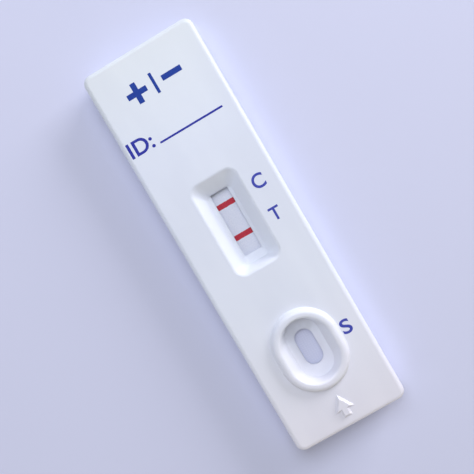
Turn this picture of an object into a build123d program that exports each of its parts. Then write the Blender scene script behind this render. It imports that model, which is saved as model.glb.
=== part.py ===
from build123d import *
import os

# A lateral flow cassette: two moulded covers, pinned together, around a layered test strip.
# Millimetres. X runs across the cassette, Y along it to the head end, Z up.
# The origin is the centre of the underside.

# Body of the cassette
body_width = 20.0
body_length = 70.0
body_height = 5.0
corner_radius = 1.5
least_corner_radius = 0.3
top_edge_radius = 0.8
bottom_edge_bevel = 0.4

# Moulded walls
side_wall = 1.2
top_skin = 1.2
floor_thickness = 1.0
parting_height = 2.3
seam_chamfer = 0.15
lip_height = 0.6
lip_thickness = 0.5
lip_clearance = 0.1

# Test strip, from the card up
strip_width = 4.0
strip_end_gap = 3.8
support_height = 0.5
card_thickness = 0.3
membrane_thickness = 0.15
conjugate_thickness = 0.3
sample_thickness = 0.6
absorbent_thickness = 0.9
pad_overlap = 2.0
pad_ramp = 0.4
sample_past_port = 4.5
membrane_past_window = 6.75

# Raised arrow at the sample end
arrow_from_end = 1.8
arrow_stem_length = 1.2
arrow_stem_width = 1.5
arrow_head_length = 2.8
arrow_head_width = 3.4
arrow_height = 0.4
arrow_bevel = 0.35
arrow_to_well = 1.6

# Sample well: a raised rim around a bowl with a port in its floor
well_width = 11.1
well_length = 13.9
rim_height = 0.95
rim_side_wall = 1.2
rim_end_wall = 1.4
rim_outer_radius = 0.75
rim_inner_radius = 0.4
rim_root_bevel = 0.25
bowl_side_run = 1.45
bowl_end_run = 0.4
bowl_floor_rise = 0.75
bowl_wall = 1.2
port_width = 3.2
port_length = 6.4
port_land = 0.4
port_gap = 0.2

# Read window: steep walls down to a ledge round a slot just above the membrane
well_to_window = 8.7
window_slot_length = 11.4
window_slot_inset = 0.4
window_slot_radius = 0.3
window_side_ledge = 0.6
window_sample_ledge = 1.45
window_head_ledge = 0.15
window_ledge_rise = 0.35
window_foot_radius = 0.8
window_side_run = 1.85
window_sample_run = 1.0
window_head_run = 2.35
window_mouth_radius = 1.6
window_edge_radius = 0.6
window_land = 0.35
window_gap = 0.3
window_wall = 1.2

# Pins of the top cover in the bosses of the bottom cover
pin_radius = 0.8
pin_clearance = 0.05
pin_tip_gap = 0.3
boss_wall = 0.75
boss_edge_gap = 0.4
boss_row_gap = 1.5

# Ribs that hold the strip
strip_clearance = 0.15
rail_thickness = 0.8
support_thickness = 1.2
support_count = 7
press_bar_thickness = 1.0
press_bar_inset = 3.0
press_gap = 0.05

# Heights that follow from the walls and the strip
floor_z = floor_thickness
ceiling_z = body_height - top_skin
crest_z = body_height + rim_height
card_z = floor_z + support_height
card_top_z = card_z + card_thickness
membrane_top_z = card_top_z + membrane_thickness
sample_top_z = card_top_z + sample_thickness
port_z = sample_top_z + port_gap
port_land_z = port_z + port_land
bowl_foot_z = port_land_z + bowl_floor_rise
window_slot_z = membrane_top_z + window_gap
window_land_z = window_slot_z + window_land
window_foot_z = window_land_z + window_ledge_rise
mid_skin_z = body_height - top_skin / 2
lip_root_z = (floor_z + parting_height) / 2

# The rounds of the rim's crest, which the thinner of its walls limits
rim_wall = min(rim_side_wall, rim_end_wall)
outer_round = min(rim_outer_radius, 0.64 * rim_wall)
inner_round = min(rim_inner_radius, 0.34 * rim_wall)

# Places along the cassette, worked out from the sample end
end_y = body_length / 2
arrow_foot_y = -end_y + arrow_from_end
arrow_neck_y = arrow_foot_y + arrow_stem_length
arrow_tip_y = arrow_neck_y + arrow_head_length
well_y = arrow_tip_y + arrow_to_well + well_length / 2
well_top_y = well_y + well_length / 2
between_y = well_top_y + well_to_window / 2
slot_low_y = well_top_y + well_to_window + window_sample_run + window_sample_ledge
slot_high_y = slot_low_y + window_slot_length
window_high_y = slot_high_y + window_head_ledge + window_head_run

# Places along the strip
strip_end_y = end_y - side_wall - strip_end_gap
sample_end_y = well_y + port_length / 2 + sample_past_port
conjugate_start_y = sample_end_y - pad_overlap
membrane_start_y = slot_low_y - membrane_past_window
membrane_end_y = slot_high_y + membrane_past_window
conjugate_end_y = membrane_start_y + pad_overlap
absorbent_start_y = membrane_end_y - pad_overlap

# Places of the pins
boss_radius = pin_radius + pin_clearance + boss_wall
boss_x = body_width / 2 - side_wall - boss_edge_gap - boss_radius
boss_end_y = end_y - side_wall - boss_edge_gap - boss_radius
boss_rows_y = [
    -boss_end_y,
    between_y,
    window_high_y + boss_row_gap + boss_radius,
    boss_end_y,
]


def outline(inset, z):
    """The cassette's plan at height z, moved in by inset."""
    radius = max(corner_radius - inset, least_corner_radius)
    plan = RectangleRounded(body_width - 2 * inset, body_length - 2 * inset, radius)
    return Pos(0, 0, z) * plan


def slab(inset, low_z, high_z):
    """A plate with the cassette's plan."""
    return extrude(outline(inset, low_z), high_z - low_z)


def rounded_slot(width, length, z):
    """A round-ended section of the sample well at height z."""
    return Pos(0, well_y, z) * SlotOverall(length, width, rotation=90)


def bar(width, length, low_z, high_z, y):
    """A block across the middle line, centred on y."""
    middle = Pos(0, y, (low_z + high_z) / 2)
    return middle * Box(width, length, high_z - low_z)


def edges_at(solid, z, half_width, low_y, high_y):
    """The edges that lie flat at height z within a stretch of the face."""

    def is_there(edge):
        box = edge.bounding_box()
        flat = abs(box.min.Z - z) < 1e-4 and abs(box.max.Z - z) < 1e-4
        inside_x = box.min.X > -half_width and box.max.X < half_width
        inside_y = box.min.Y > low_y and box.max.Y < high_y
        return flat and inside_x and inside_y

    return solid.edges().filter_by(is_there)


def funnel_section(out, radius, z):
    """The read window's section at height z, moved out from its slot by (side, sample, head)."""
    side, sample, head = out
    width = strip_width - 2 * window_slot_inset + 2 * side
    low_y = slot_low_y - sample
    high_y = slot_high_y + head
    return Pos(0, (low_y + high_y) / 2, z) * RectangleRounded(width, high_y - low_y, radius)


def funnel(grow):
    """The read window's hollow, or with grow its wall's outer shape."""
    slot = Vector(grow, grow, grow)
    foot = slot + Vector(window_side_ledge, window_sample_ledge, window_head_ledge)
    mouth = foot + Vector(window_side_run, window_sample_run, window_head_run)
    land = extrude(funnel_section(slot, window_slot_radius + grow, window_slot_z), window_land)
    sections = [
        funnel_section(slot, window_slot_radius + grow, window_land_z),
        funnel_section(foot, window_foot_radius + grow, window_foot_z),
        funnel_section(mouth, window_mouth_radius + grow, body_height),
    ]
    return land + loft(sections, ruled=True)


def bowl(grow):
    """The sample well's hollow, or with grow its wall's outer shape."""
    port = (port_width + 2 * grow, port_length + 2 * grow)
    mouth = (well_width - 2 * rim_side_wall + 2 * grow, well_length - 2 * rim_end_wall + 2 * grow)
    foot = (mouth[0] - 2 * bowl_side_run, mouth[1] - 2 * bowl_end_run)
    land = extrude(rounded_slot(*port, port_z), port_land)
    sections = [
        rounded_slot(*port, port_land_z),
        rounded_slot(*foot, bowl_foot_z),
        rounded_slot(*mouth, crest_z),
    ]
    return land + loft(sections, ruled=True)


def well_rim():
    """The raised rim, solid until the bowl is cut."""
    rim = extrude(rounded_slot(well_width, well_length, mid_skin_z), crest_z - mid_skin_z)
    crest = rim.faces().sort_by(Axis.Z)[-1].edges()
    return fillet(crest, outer_round)


def arrow():
    """The raised arrow that points at the sample well, bevelled all round."""
    half_head = arrow_head_width / 2
    half_stem = arrow_stem_width / 2
    corners = [
        (0, arrow_tip_y),
        (half_head, arrow_neck_y),
        (half_stem, arrow_neck_y),
        (half_stem, arrow_foot_y),
        (-half_stem, arrow_foot_y),
        (-half_stem, arrow_neck_y),
        (-half_head, arrow_neck_y),
    ]
    plan = make_face(Polyline(*corners, close=True))
    block = extrude(Pos(0, 0, mid_skin_z) * plan, body_height + arrow_height - mid_skin_z)
    top = block.faces().sort_by(Axis.Z)[-1].edges()
    return chamfer(top, min(arrow_bevel, 0.9 * arrow_height))


def top_shell():
    """The top cover's tray, open below, with the rebate that takes the lip."""
    tray = slab(0, parting_height, body_height)
    tray = fillet(tray.faces().sort_by(Axis.Z)[-1].edges(), top_edge_radius)
    tray = chamfer(tray.faces().sort_by(Axis.Z)[0].edges(), seam_chamfer)
    hollow = slab(side_wall, parting_height, ceiling_z)
    rebate_inset = side_wall - lip_thickness - lip_clearance
    rebate = slab(rebate_inset, parting_height, parting_height + lip_height + lip_clearance)
    return tray - hollow - rebate


def locating_pins():
    """The pins that hang from the top cover into the bosses."""
    tip_z = floor_z + pin_tip_gap
    pin = Cylinder(pin_radius, mid_skin_z - tip_z)
    middle_z = (tip_z + mid_skin_z) / 2
    return [Pos(side * boss_x, y, middle_z) * pin for side in (-1, 1) for y in boss_rows_y]


def wick_top_z(y):
    """The top of the absorbent pad under a bar centred on y."""
    over_membrane = y - press_bar_thickness / 2 < membrane_end_y + pad_ramp
    under_z = membrane_top_z if over_membrane else card_top_z
    return under_z + absorbent_thickness


def press_bars():
    """The bars under the top cover that press the pads together where they overlap."""
    sample_bar_y = (conjugate_start_y + sample_end_y) / 2
    sample_lap_z = card_top_z + conjugate_thickness + sample_thickness
    membrane_bar_y = (absorbent_start_y + membrane_end_y) / 2
    end_bar_y = strip_end_y - press_bar_inset
    pad_tops = [
        (sample_bar_y, sample_lap_z),
        (membrane_bar_y, wick_top_z(membrane_bar_y)),
        (end_bar_y, wick_top_z(end_bar_y)),
    ]
    size = (strip_width, press_bar_thickness)
    return [bar(*size, pad_z + press_gap, mid_skin_z, y) for y, pad_z in pad_tops]


def top_cover():
    """The upper moulding, with the read window, the sample well and the arrow."""
    below_face = bar(body_width, body_length, 0, mid_skin_z, 0)
    cover = top_shell() + (funnel(window_wall) & below_face) + (bowl(bowl_wall) & below_face)
    for piece in press_bars() + locating_pins():
        cover += piece
    cover += well_rim()
    root = edges_at(cover, body_height, body_width / 2, -end_y, between_y)
    cover = chamfer(root, rim_root_bevel)
    cover = cover - funnel(0) - bowl(0)
    mouth = edges_at(cover, body_height, body_width / 2, between_y, end_y)
    cover = fillet(mouth, window_edge_radius)
    crest_inside_x = (well_width - rim_side_wall - outer_round) / 2
    crest = edges_at(cover, crest_z, crest_inside_x, -end_y, end_y)
    cover = fillet(crest, inner_round)
    return cover + arrow()


def bottom_shell():
    """The bottom cover's tray, open above, with the lip that locates the top cover."""
    tray = slab(0, 0, parting_height)
    tray = chamfer(tray.faces().sort_by(Axis.Z)[-1].edges(), seam_chamfer)
    tray = chamfer(tray.faces().sort_by(Axis.Z)[0].edges(), bottom_edge_bevel)
    lip = slab(side_wall - lip_thickness, lip_root_z, parting_height + lip_height)
    hollow = slab(side_wall, floor_z, parting_height + lip_height)
    return tray + lip - hollow


def strip_channel():
    """The rails round the strip and the ribs under it."""
    rail_width = strip_width + 2 * strip_clearance
    rail_length = 2 * (strip_end_y + strip_clearance)
    inside = bar(rail_width, rail_length, floor_z, membrane_top_z, 0)
    rail_outside = (rail_width + 2 * rail_thickness, rail_length + 2 * rail_thickness)
    channel = bar(*rail_outside, floor_z / 2, membrane_top_z, 0) - inside
    pitch = (2 * strip_end_y - support_thickness) / (support_count - 1)
    for index in range(support_count):
        y = -strip_end_y + support_thickness / 2 + index * pitch
        channel += bar(rail_width, support_thickness, floor_z / 2, card_z, y)
    return channel


def bottom_cover():
    """The lower moulding, with the strip's channel and the pin bosses."""
    cover = bottom_shell() + strip_channel()
    boss = extrude(Pos(0, 0, floor_z / 2) * Circle(boss_radius), parting_height - floor_z / 2)
    bore = extrude(Pos(0, 0, floor_z) * Circle(pin_radius + pin_clearance), parting_height)
    for side in (-1, 1):
        for y in boss_rows_y:
            cover += Pos(side * boss_x, y, 0) * boss
            cover -= Pos(side * boss_x, y, 0) * bore
    return cover


def strip_layer(side_profile):
    """A layer of the strip, from its side view as (y, z) points."""
    line = Polyline(*[(0, y, z) for y, z in side_profile], close=True)
    return extrude(make_face(line), strip_width / 2, dir=(1, 0, 0), both=True)


def flat_layer(low_y, high_y, low_z, thickness):
    """A layer that lies flat from end to end."""
    high_z = low_z + thickness
    return strip_layer([(low_y, low_z), (high_y, low_z), (high_y, high_z), (low_y, high_z)])


def stepped_pad(free_y, step_y, lapped_y, step_height, thickness):
    """A pad that lies on the card from free_y and laps over its neighbour's end at step_y."""
    ramp_y = step_y + pad_ramp * (1 if free_y > step_y else -1)
    under = [
        (free_y, card_top_z),
        (ramp_y, card_top_z),
        (step_y, card_top_z + step_height),
        (lapped_y, card_top_z + step_height),
    ]
    over = [(y, z + thickness) for y, z in reversed(under)]
    return strip_layer(under + over)


def strip_pieces():
    """The strip's card and its four pads, by node name."""
    return {
        "backing_card": flat_layer(-strip_end_y, strip_end_y, card_z, card_thickness),
        "membrane": flat_layer(
            membrane_start_y, membrane_end_y, card_top_z, membrane_thickness
        ),
        "conjugate_pad": stepped_pad(
            conjugate_start_y,
            membrane_start_y,
            conjugate_end_y,
            membrane_thickness,
            conjugate_thickness,
        ),
        "sample_pad": stepped_pad(
            -strip_end_y,
            conjugate_start_y,
            sample_end_y,
            conjugate_thickness,
            sample_thickness,
        ),
        "absorbent_pad": stepped_pad(
            strip_end_y,
            membrane_end_y,
            absorbent_start_y,
            membrane_thickness,
            absorbent_thickness,
        ),
    }


pieces = {"top_cover": top_cover(), "bottom_cover": bottom_cover(), **strip_pieces()}
os.makedirs("parts", exist_ok=True)
for name, piece in pieces.items():
    export_step(piece, f"parts/{name}.step")
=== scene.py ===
import math

import bmesh
import bpy
from mathutils import Matrix, Vector


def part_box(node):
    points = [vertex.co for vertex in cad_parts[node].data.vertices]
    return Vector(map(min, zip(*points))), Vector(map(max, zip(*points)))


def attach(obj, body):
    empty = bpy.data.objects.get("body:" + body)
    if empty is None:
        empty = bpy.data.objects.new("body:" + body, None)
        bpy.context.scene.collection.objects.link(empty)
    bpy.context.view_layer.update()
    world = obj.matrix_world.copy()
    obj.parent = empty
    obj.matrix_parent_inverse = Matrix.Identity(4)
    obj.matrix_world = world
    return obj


# Looks of a lateral flow cassette: a white moulded housing round a test strip.
# Metres. X runs across the cassette, Y along it to the head end, Z up.
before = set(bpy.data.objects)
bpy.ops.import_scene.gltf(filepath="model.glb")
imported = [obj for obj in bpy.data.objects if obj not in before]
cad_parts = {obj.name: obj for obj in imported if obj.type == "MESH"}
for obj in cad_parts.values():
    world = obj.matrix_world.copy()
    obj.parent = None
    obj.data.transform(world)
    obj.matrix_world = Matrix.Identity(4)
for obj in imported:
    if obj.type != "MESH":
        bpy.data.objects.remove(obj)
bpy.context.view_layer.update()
MM = 0.001

# The face lies under the crest of the well's rim, which is the top of the frame
RIM_HEIGHT = 0.95 * MM
COVER_LOW, COVER_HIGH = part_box("top_cover")
FACE_Z = COVER_HIGH.z - RIM_HEIGHT

# Printed ink: how deep it sits in the face, how far it stands out and how round its corners are.
# Bars and signs are made BLANK_HEIGHT high before they are pressed flat.
INK_BELOW = 0.01 * MM
INK_ABOVE = 0.015 * MM
INK_CORNER = 0.06 * MM
BLANK_HEIGHT = 1 * MM

# How much lighter, from 0 to 255, the ink is where it covers thinly
INK_MOTTLE = 12

# Letters: how far their strokes are fattened and how thick they are made, in their own units
LETTER_WEIGHT = 0.016
LETTER_HEIGHT = 0.1

# Letters by the window and the well, each as its middle and its size across and along
CONTROL_AT = (6.4 * MM, 7.0 * MM)
CONTROL_SIZE = (2.1 * MM, 2.45 * MM)
TEST_AT = (6.22 * MM, 1.22 * MM)
TEST_SIZE = (1.8 * MM, 2.2 * MM)
SAMPLE_AT = (6.88 * MM, -20.2 * MM)
SAMPLE_SIZE = (1.72 * MM, 2.48 * MM)

# The field to write on
FIELD_NAME_AT = (-6.92 * MM, 21.17 * MM)
FIELD_NAME_SIZE = (4.3 * MM, 2.6 * MM)
FIELD_LINE_AT = (1.75 * MM, 20.02 * MM)
FIELD_LINE_SIZE = (11.4 * MM, 0.32 * MM)

# Plain plus, bar and minus at the head end
HEAD_MARK_Y = 28.55 * MM
HEAD_MARK_SIZE = 3.5 * MM
HEAD_MARK_STROKE = 0.92 * MM
HEAD_MARK_PITCH = 3.15 * MM
HEAD_BAR_STROKE = 0.5 * MM

# Reagent lines across the membrane
LINE_BREADTH = 0.92 * MM
CONTROL_LINE_Y = 6.43 * MM
TEST_LINE_Y = 0.7 * MM
LINE_FEATHER = 0.05 * MM
LINE_WANDER = 0.16 * MM

# Camera, as the photograph was taken: place, the point looked at, and the turn of the picture
CAMERA_AT = (4.83 * MM, 5.2 * MM, 100.55 * MM)
CAMERA_LOOKS_AT = (-1.0 * MM, 0.98 * MM, 5.0 * MM)
CAMERA_TURN = math.radians(30.306)
CAMERA_LENS = 45.57

# Floor, a hair under the cassette, which fades into the same plain backdrop all round, from one
# distance to another. It lets the light from below through to what lies closer to it than TOUCH.
FLOOR_TINT = (214, 218, 242)
FLOOR_HALF_SIZE = 2.0
FLOOR_Z = -0.02 * MM
TOUCH = 0.035 * MM
FADE_FROM, FADE_TO = 0.09, 0.35

# Light: tints, and the strength of the pale surround
WARM_WHITE = (1.0, 0.93, 0.76)
PLAIN_WHITE = (1.03, 1.0, 1.03)
COOL_WHITE = (0.97, 1.015, 1.17)
SURROUND_LIGHT = 0.24

# Lamps: tint, azimuth from +X towards the head end and elevation in degrees, distance, width and
# height in metres, and the share of the light on the face, or from below on the underside
LAMPS = {
    "overhead": (COOL_WHITE, 79, 57, 0.50, 0.34, 0.34, 0.44),
    "key": (PLAIN_WHITE, 25, 17, 0.50, 0.30, 0.16, 0.22),
    "left_fill": (COOL_WHITE, 190, 24, 0.50, 0.38, 0.38, 0.055),
    "low_fill": (WARM_WHITE, 268, 9, 0.50, 0.30, 0.12, 0.023),
    "under_fill": (COOL_WHITE, 300, -60, 0.50, 0.38, 0.38, 0.50),
}

# Sockets of the colour mix node, which gives the same names to those for other kinds of value
MIX_FACTOR, MIX_FIRST, MIX_SECOND, MIX_RESULT = 0, 6, 7, 2

# Distance from thread to thread in the wave texture at a scale of 1
WAVE_PITCH = math.pi / 10


def new_material(name):
    """A new material, with its node tree and its shader."""
    material = bpy.data.materials.new(name)
    material.use_nodes = True
    shader = material.node_tree.nodes["Principled BSDF"]
    return material, material.node_tree, shader


def linear(red, green, blue):
    """An sRGB colour, given from 0 to 255, in the linear values that shaders take."""

    def one(value):
        value = value / 255
        return value / 12.92 if value <= 0.04045 else ((value + 0.055) / 1.055) ** 2.4

    return (one(red), one(green), one(blue), 1.0)


def add_node(tree, kind, **settings):
    """A node of that kind, with its settings and its input values."""
    node = tree.nodes.new(kind)
    for key, value in settings.items():
        if key in node.inputs:
            node.inputs[key].default_value = value
        else:
            setattr(node, key, value)
    return node


def object_noise(tree, scale, detail=3.0, roughness=0.5, stretch=(1, 1, 1)):
    """Noise in the object's own space, with scale in features for a metre."""
    place = add_node(tree, "ShaderNodeTexCoord")
    mapping = add_node(tree, "ShaderNodeMapping", Scale=stretch)
    noise = add_node(tree, "ShaderNodeTexNoise", Scale=scale, Detail=detail, Roughness=roughness)
    tree.links.new(place.outputs["Object"], mapping.inputs["Vector"])
    tree.links.new(mapping.outputs["Vector"], noise.inputs["Vector"])
    return noise


def ramp(tree, source, stops):
    """A colour ramp on source, from (place, colour) stops."""
    node = tree.nodes.new("ShaderNodeValToRGB")
    elements = node.color_ramp.elements
    while len(elements) < len(stops):
        elements.new(0.5)
    for element, (place, colour) in zip(elements, stops):
        element.position = place
        element.color = colour
    tree.links.new(source, node.inputs["Fac"])
    return node


def bump(tree, shader, source, strength, distance):
    """Relief on the shader's normal from source."""
    node = add_node(tree, "ShaderNodeBump", Strength=strength, Distance=distance)
    tree.links.new(source, node.inputs["Height"])
    tree.links.new(node.outputs["Normal"], shader.inputs["Normal"])


def moulded_styrene():
    """Satin white moulded plastic, with painted shade along it: darker and cooler at the head end,
    faintly warmer at the sample end.
    """
    material, tree, shader = new_material("satin_white_styrene")
    place = add_node(tree, "ShaderNodeTexCoord")
    axes = add_node(tree, "ShaderNodeSeparateXYZ")
    along = add_node(tree, "ShaderNodeMapRange")
    along.inputs["From Min"].default_value = COVER_LOW.y
    along.inputs["From Max"].default_value = COVER_HIGH.y
    tree.links.new(place.outputs["Object"], axes.inputs["Vector"])
    tree.links.new(axes.outputs["Y"], along.inputs["Value"])
    # Painted shade along the face: the colour darkens and cools towards the head end and warms faintly
    # towards the sample end
    shade = ramp(tree, along.outputs["Result"], [
        (0.0, linear(234, 233, 242)),
        (0.35, linear(231, 237, 248)),
        (0.75, linear(227, 234, 247)),
        (1.0, linear(223, 230, 235)),
    ])
    flow = object_noise(tree, scale=160, detail=2.0, stretch=(1, 0.35, 1))
    patch = ramp(tree, flow.outputs["Fac"], [
        (0.35, linear(250, 250, 251)),
        (0.65, linear(255, 255, 255)),
    ])
    mixed = add_node(tree, "ShaderNodeMix", data_type="RGBA", blend_type="MULTIPLY")
    mixed.inputs[MIX_FACTOR].default_value = 1.0
    tree.links.new(shade.outputs["Color"], mixed.inputs[MIX_FIRST])
    tree.links.new(patch.outputs["Color"], mixed.inputs[MIX_SECOND])
    tree.links.new(mixed.outputs[MIX_RESULT], shader.inputs["Base Color"])
    gloss = add_node(tree, "ShaderNodeMapRange")
    gloss.inputs["To Min"].default_value = 0.36
    gloss.inputs["To Max"].default_value = 0.46
    tree.links.new(flow.outputs["Fac"], gloss.inputs["Value"])
    tree.links.new(gloss.outputs["Result"], shader.inputs["Roughness"])
    shader.inputs["IOR"].default_value = 1.55
    shader.inputs["Subsurface Weight"].default_value = 0.06
    shader.inputs["Subsurface Radius"].default_value = (0.9, 0.9, 1.0)
    shader.inputs["Subsurface Scale"].default_value = 0.4 * MM
    grain = object_noise(tree, scale=9000, detail=2.0)
    bump(tree, shader, grain.outputs["Fac"], strength=0.12, distance=0.02 * MM)
    return material


def line_mask(tree, across, y):
    """1 on a reagent line and 0 off it, where across is a distance along the strip."""
    away = add_node(tree, "ShaderNodeMath", operation="SUBTRACT")
    away.inputs[1].default_value = y
    size = add_node(tree, "ShaderNodeMath", operation="ABSOLUTE")
    mask = add_node(tree, "ShaderNodeMapRange", interpolation_type="SMOOTHSTEP")
    mask.inputs["From Min"].default_value = LINE_BREADTH / 2 - LINE_FEATHER
    mask.inputs["From Max"].default_value = LINE_BREADTH / 2 + LINE_FEATHER
    mask.inputs["To Min"].default_value = 1.0
    mask.inputs["To Max"].default_value = 0.0
    tree.links.new(across, away.inputs[0])
    tree.links.new(away.outputs["Value"], size.inputs[0])
    tree.links.new(size.outputs["Value"], mask.inputs["Value"])
    return mask.outputs["Result"]


def nitrocellulose():
    """Matt, cool white membrane with a fine grain and two red lines dried into it."""
    material, tree, shader = new_material("nitrocellulose_membrane")
    place = add_node(tree, "ShaderNodeTexCoord")
    axes = add_node(tree, "ShaderNodeSeparateXYZ")
    tree.links.new(place.outputs["Object"], axes.inputs["Vector"])
    grain = object_noise(tree, scale=5200, detail=4.0)
    paper = ramp(tree, grain.outputs["Fac"], [
        (0.3, linear(226, 231, 247)),
        (0.7, linear(238, 242, 254)),
    ])
    wick = object_noise(tree, scale=2600, detail=2.0)
    wander = add_node(tree, "ShaderNodeMath", operation="MULTIPLY_ADD")
    wander.inputs[1].default_value = LINE_WANDER
    wander.inputs[2].default_value = -LINE_WANDER / 2
    along = add_node(tree, "ShaderNodeMath", operation="ADD")
    tree.links.new(wick.outputs["Fac"], wander.inputs[0])
    tree.links.new(axes.outputs["Y"], along.inputs[0])
    tree.links.new(wander.outputs["Value"], along.inputs[1])
    masks = [line_mask(tree, along.outputs["Value"], y) for y in (CONTROL_LINE_Y, TEST_LINE_Y)]
    either = add_node(tree, "ShaderNodeMath", operation="MAXIMUM")
    for mask, socket in zip(masks, either.inputs):
        tree.links.new(mask, socket)
    red = ramp(tree, grain.outputs["Fac"], [
        (0.3, linear(184, 42, 60)),
        (0.7, linear(208, 58, 74)),
    ])
    dyed = add_node(tree, "ShaderNodeMix", data_type="RGBA")
    tree.links.new(either.outputs["Value"], dyed.inputs[MIX_FACTOR])
    tree.links.new(paper.outputs["Color"], dyed.inputs[MIX_FIRST])
    tree.links.new(red.outputs["Color"], dyed.inputs[MIX_SECOND])
    tree.links.new(dyed.outputs[MIX_RESULT], shader.inputs["Base Color"])
    shader.inputs["Roughness"].default_value = 0.85
    bump(tree, shader, grain.outputs["Fac"], strength=0.25, distance=0.03 * MM)
    return material


def pad_fibre(name, dark, light, across, along, depth):
    """A fibre pad: crossed threads of the given pitch, with a little unevenness."""
    material, tree, shader = new_material(name)
    place = add_node(tree, "ShaderNodeTexCoord")
    threads = []
    for direction, pitch in (("X", across), ("Y", along)):
        wave = add_node(
            tree, "ShaderNodeTexWave", Scale=WAVE_PITCH / pitch, Distortion=2.4, Detail=2.0
        )
        wave.bands_direction = direction
        wave.inputs["Detail Scale"].default_value = 1.5
        tree.links.new(place.outputs["Object"], wave.inputs["Vector"])
        threads.append(wave)
    woven = add_node(tree, "ShaderNodeMath", operation="MULTIPLY")
    tree.links.new(threads[0].outputs["Fac"], woven.inputs[0])
    tree.links.new(threads[1].outputs["Fac"], woven.inputs[1])
    fluff = object_noise(tree, scale=2500, detail=4.0)
    uneven = add_node(tree, "ShaderNodeMath", operation="MULTIPLY")
    tree.links.new(woven.outputs["Value"], uneven.inputs[0])
    tree.links.new(fluff.outputs["Fac"], uneven.inputs[1])
    shade = ramp(tree, uneven.outputs["Value"], [(0.0, linear(*dark)), (0.6, linear(*light))])
    tree.links.new(shade.outputs["Color"], shader.inputs["Base Color"])
    shader.inputs["Roughness"].default_value = 0.95
    shader.inputs["Sheen Weight"].default_value = 0.15
    bump(tree, shader, uneven.outputs["Value"], strength=0.6, distance=depth)
    return material


def vinyl_card():
    """Smooth white plastic card under the strip."""
    material, tree, shader = new_material("white_vinyl_card")
    cloud = object_noise(tree, scale=300)
    shade = ramp(tree, cloud.outputs["Fac"], [
        (0.3, linear(234, 234, 232)),
        (0.7, linear(242, 242, 240)),
    ])
    tree.links.new(shade.outputs["Color"], shader.inputs["Base Color"])
    shader.inputs["Roughness"].default_value = 0.4
    return material


def printing_ink(name, red, green, blue):
    """Pad-printed ink: slightly uneven cover and a soft sheen."""
    material, tree, shader = new_material(name)
    cover = object_noise(tree, scale=2600, detail=4.0)
    lighter = [min(255, value + INK_MOTTLE) for value in (red, green, blue)]
    shade = ramp(tree, cover.outputs["Fac"], [
        (0.35, linear(red, green, blue)),
        (0.75, linear(*lighter)),
    ])
    tree.links.new(shade.outputs["Color"], shader.inputs["Base Color"])
    shader.inputs["Roughness"].default_value = 0.6
    shader.inputs["Specular IOR Level"].default_value = 0.25
    return material


def add_print(name, form, centre, size, material):
    """Fits a closed shape to a place and a size on the face, as a thin layer of ink."""
    bmesh.ops.remove_doubles(form, verts=form.verts, dist=1e-5)
    lows = [min(v.co[axis] for v in form.verts) for axis in range(3)]
    highs = [max(v.co[axis] for v in form.verts) for axis in range(3)]
    middle = Vector([(low + high) / 2 for low, high in zip(lows, highs)])
    wanted = (size[0], size[1], INK_BELOW + INK_ABOVE)
    stretch = [want / (high - low) for want, low, high in zip(wanted, lows, highs)]
    place = Vector((centre[0], centre[1], FACE_Z + (INK_ABOVE - INK_BELOW) / 2))
    bmesh.ops.translate(form, verts=form.verts, vec=-middle)
    bmesh.ops.scale(form, verts=form.verts, vec=stretch)
    bmesh.ops.translate(form, verts=form.verts, vec=place)
    bmesh.ops.recalc_face_normals(form, faces=form.faces)
    mesh = bpy.data.meshes.new(name)
    form.to_mesh(mesh)
    form.free()
    mesh.materials.append(material)
    piece = bpy.data.objects.new(name, mesh)
    bpy.context.scene.collection.objects.link(piece)
    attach(piece, "root")


def letter_form(words):
    """Some letters as a closed shape."""
    curve = bpy.data.curves.new("letters", "FONT")
    curve.body = words
    curve.extrude = LETTER_HEIGHT
    curve.offset = LETTER_WEIGHT
    holder = bpy.data.objects.new("letters", curve)
    bpy.context.scene.collection.objects.link(holder)
    bpy.context.view_layer.update()
    solid = holder.evaluated_get(bpy.context.evaluated_depsgraph_get())
    form = bmesh.new()
    form.from_mesh(solid.to_mesh())
    bpy.data.objects.remove(holder)
    bpy.data.curves.remove(curve)
    return form


def bar_form(width, length):
    """A bar of ink with rounded corners."""
    form = bmesh.new()
    blank = Matrix.Diagonal((width, length, BLANK_HEIGHT, 1))
    bmesh.ops.create_cube(form, size=1.0, matrix=blank)
    return round_corners(form)


def plus_form(size, stroke):
    """A plus of ink: a square with an arm drawn out of each side."""
    form = bmesh.new()
    middle = Matrix.Diagonal((stroke, stroke, BLANK_HEIGHT, 1))
    bmesh.ops.create_cube(form, size=1.0, matrix=middle)
    form.normal_update()
    sides = [face for face in form.faces if abs(face.normal.z) < 0.5]
    for arm in bmesh.ops.extrude_discrete_faces(form, faces=sides)["faces"]:
        arm.normal_update()
        bmesh.ops.translate(form, verts=arm.verts, vec=arm.normal * (size - stroke) / 2)
    return round_corners(form)


def rise(edge):
    """How far an edge climbs."""
    low, high = edge.verts
    return abs(high.co.z - low.co.z)


def round_corners(form):
    """Rounds the upright edges of a layer of ink."""
    form.normal_update()
    upright = [edge for edge in form.edges if rise(edge) > BLANK_HEIGHT / 2]
    outer = [edge for edge in upright if edge.calc_face_angle_signed(0) > 0.1]
    bmesh.ops.bevel(
        form, geom=outer, offset=INK_CORNER, affect="EDGES", segments=3, profile=0.5, material=-1
    )
    return form


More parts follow.
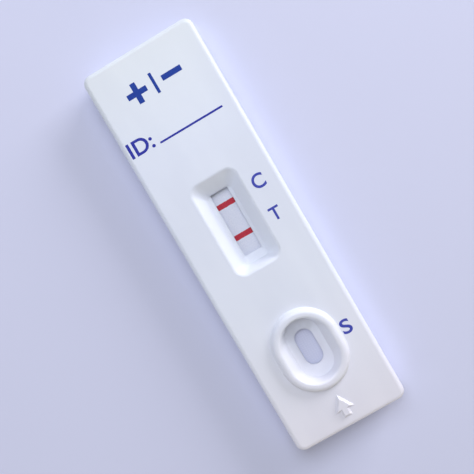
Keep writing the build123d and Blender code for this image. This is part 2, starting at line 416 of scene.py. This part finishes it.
def print_face():
    """The marks on the face: letters, the field to write on, and plain signs at the head end."""
    mark_ink = printing_ink("violet_blue_ink", 60, 70, 168)
    field_ink = printing_ink("deep_blue_ink", 38, 46, 154)
    head_ink = printing_ink("royal_blue_ink", 16, 54, 146)
    marks = [
        ("mark_control", "C", CONTROL_AT, CONTROL_SIZE),
        ("mark_test", "T", TEST_AT, TEST_SIZE),
        ("mark_sample", "S", SAMPLE_AT, SAMPLE_SIZE),
    ]
    for name, letter, middle, size in marks:
        add_print(name, letter_form(letter), middle, size, mark_ink)
    add_print("field_name", letter_form("ID:"), FIELD_NAME_AT, FIELD_NAME_SIZE, field_ink)
    add_print("field_line", bar_form(*FIELD_LINE_SIZE), FIELD_LINE_AT, FIELD_LINE_SIZE, field_ink)
    signs = [
        ("head_plus", plus_form(HEAD_MARK_SIZE, HEAD_MARK_STROKE), (HEAD_MARK_SIZE, HEAD_MARK_SIZE)),
        ("head_divider", bar_form(HEAD_BAR_STROKE, HEAD_MARK_SIZE), (HEAD_BAR_STROKE, HEAD_MARK_SIZE)),
        ("head_minus", bar_form(HEAD_MARK_SIZE, HEAD_MARK_STROKE), (HEAD_MARK_SIZE, HEAD_MARK_STROKE)),
    ]
    for place, (name, form, size) in zip((-1, 0, 1), signs):
        add_print(name, form, (place * HEAD_MARK_PITCH, HEAD_MARK_Y), size, head_ink)


def dress_cad_nodes():
    """Gives each CAD node its material."""
    styrene = moulded_styrene()
    finishes = {
        "top_cover": styrene,
        "bottom_cover": styrene,
        "membrane": nitrocellulose(),
        "backing_card": vinyl_card(),
        "sample_pad": pad_fibre(
            "woven_sample_pad", (214, 218, 240), (221, 225, 245), 0.42 * MM, 0.36 * MM, 0.007 * MM
        ),
        "conjugate_pad": pad_fibre(
            "dyed_glass_fibre", (196, 130, 134), (222, 170, 172), 0.6 * MM, 0.6 * MM, 0.04 * MM
        ),
        "absorbent_pad": pad_fibre(
            "thick_blotting_paper", (226, 226, 224), (244, 244, 242), 0.3 * MM, 0.3 * MM, 0.03 * MM
        ),
    }
    for node, material in finishes.items():
        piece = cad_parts[node]
        piece.data.materials.clear()
        piece.data.materials.append(material)


def seen_directly(tree):
    """1 where the camera looks, also by way of a reflection or through glass, and 0 elsewhere."""
    path = add_node(tree, "ShaderNodeLightPath")
    total = path.outputs["Is Camera Ray"]
    for kind in ("Is Glossy Ray", "Is Transmission Ray"):
        either = add_node(tree, "ShaderNodeMath", operation="MAXIMUM")
        tree.links.new(total, either.inputs[0])
        tree.links.new(path.outputs[kind], either.inputs[1])
        total = either.outputs["Value"]
    return total


def seen_from_below(tree):
    """1 on the floor's lower side, and for what all but touches the floor, and 0 elsewhere."""
    side = add_node(tree, "ShaderNodeNewGeometry")
    path = add_node(tree, "ShaderNodeLightPath")
    near = add_node(tree, "ShaderNodeMath", operation="LESS_THAN")
    near.inputs[1].default_value = TOUCH
    either = add_node(tree, "ShaderNodeMath", operation="MAXIMUM")
    tree.links.new(path.outputs["Ray Length"], near.inputs[0])
    tree.links.new(side.outputs["Backfacing"], either.inputs[0])
    tree.links.new(near.outputs["Value"], either.inputs[1])
    return either.outputs["Value"]


def pale_floor():
    """Matt pale floor that takes shadows near the cassette and doesn't hide its underside."""
    material, tree, shader = new_material("pale_floor")
    shader.inputs["Base Color"].default_value = linear(*FLOOR_TINT)
    shader.inputs["Roughness"].default_value = 0.9
    shader.inputs["Specular IOR Level"].default_value = 0.2
    place = add_node(tree, "ShaderNodeTexCoord")
    away = add_node(tree, "ShaderNodeVectorMath", operation="LENGTH")
    fade = add_node(tree, "ShaderNodeMapRange", interpolation_type="SMOOTHSTEP")
    fade.inputs["From Min"].default_value = FADE_FROM
    fade.inputs["From Max"].default_value = FADE_TO
    shown = add_node(tree, "ShaderNodeMath", operation="MULTIPLY")
    backdrop = add_node(tree, "ShaderNodeEmission", Color=linear(*FLOOR_TINT), Strength=1.0)
    mixed = add_node(tree, "ShaderNodeMixShader")
    tree.links.new(place.outputs["Object"], away.inputs[0])
    tree.links.new(away.outputs["Value"], fade.inputs["Value"])
    tree.links.new(fade.outputs["Result"], shown.inputs[0])
    tree.links.new(seen_directly(tree), shown.inputs[1])
    tree.links.new(shown.outputs["Value"], mixed.inputs[0])
    tree.links.new(shader.outputs["BSDF"], mixed.inputs[1])
    tree.links.new(backdrop.outputs["Emission"], mixed.inputs[2])
    one_way = add_node(tree, "ShaderNodeMixShader")
    clear = add_node(tree, "ShaderNodeBsdfTransparent")
    tree.links.new(seen_from_below(tree), one_way.inputs[0])
    tree.links.new(mixed.outputs["Shader"], one_way.inputs[1])
    tree.links.new(clear.outputs["BSDF"], one_way.inputs[2])
    tree.links.new(one_way.outputs["Shader"], tree.nodes["Material Output"].inputs["Surface"])
    return material


def make_floor():
    """A plain pale floor under the cassette."""
    form = bmesh.new()
    bmesh.ops.create_grid(form, x_segments=1, y_segments=1, size=FLOOR_HALF_SIZE)
    bmesh.ops.translate(form, verts=form.verts, vec=(0, 0, FLOOR_Z))
    mesh = bpy.data.meshes.new("floor")
    form.to_mesh(mesh)
    form.free()
    mesh.materials.append(pale_floor())
    floor = bpy.data.objects.new("floor", mesh)
    bpy.context.scene.collection.objects.link(floor)


def make_camera():
    """The camera at the photograph's viewing angle."""
    data = bpy.data.cameras.new("camera")
    data.lens = CAMERA_LENS
    data.clip_start = 1 * MM
    data.clip_end = 10.0
    camera = bpy.data.objects.new("camera", data)
    bpy.context.scene.collection.objects.link(camera)
    at, target = Vector(CAMERA_AT), Vector(CAMERA_LOOKS_AT)
    back = (at - target).normalized()
    up = Vector((math.sin(CAMERA_TURN), math.cos(CAMERA_TURN), 0))
    right = up.cross(back).normalized()
    up = back.cross(right)
    turn = Matrix((right, up, back)).transposed()
    camera.location = at
    camera.rotation_euler = turn.to_euler()
    bpy.context.scene.camera = camera


def add_lamp(name, tint, azimuth, elevation, distance, width, height, light):
    """A soft lamp turned to the cassette, where light is its share on the face or the underside."""
    azimuth, elevation = math.radians(azimuth), math.radians(elevation)
    data = bpy.data.lights.new(name, "AREA")
    data.shape = "RECTANGLE"
    data.size = width
    data.size_y = height
    data.color = tint
    # The power that gives a level surface this share of light at this distance and slant
    data.energy = light * (math.pi * distance) ** 2 / abs(math.sin(elevation))
    lamp = bpy.data.objects.new(name, data)
    bpy.context.scene.collection.objects.link(lamp)
    towards = Vector((
        math.cos(elevation) * math.cos(azimuth),
        math.cos(elevation) * math.sin(azimuth),
        math.sin(elevation),
    ))
    lamp.location = towards * distance
    lamp.rotation_euler = towards.to_track_quat("Z", "Y").to_euler()


def make_light():
    """A broad lamp over the head end, a low key from the right, fills and a pale surround."""
    world = bpy.data.worlds.new("studio")
    bpy.context.scene.world = world
    world.use_nodes = True
    tree = world.node_tree
    surround = tree.nodes["Background"]
    surround.inputs["Color"].default_value = (*WARM_WHITE, 1.0)
    surround.inputs["Strength"].default_value = SURROUND_LIGHT
    backdrop = add_node(tree, "ShaderNodeBackground", Color=linear(*FLOOR_TINT), Strength=1.0)
    mixed = add_node(tree, "ShaderNodeMixShader")
    tree.links.new(seen_directly(tree), mixed.inputs[0])
    tree.links.new(surround.outputs["Background"], mixed.inputs[1])
    tree.links.new(backdrop.outputs["Background"], mixed.inputs[2])
    tree.links.new(mixed.outputs["Shader"], tree.nodes["World Output"].inputs["Surface"])
    for name, settings in LAMPS.items():
        add_lamp(name, *settings)


def set_view():
    """Plain colours, with no film look."""
    bpy.context.scene.view_settings.view_transform = "Standard"


make_camera()
make_light()
make_floor()
set_view()
dress_cad_nodes()
print_face()
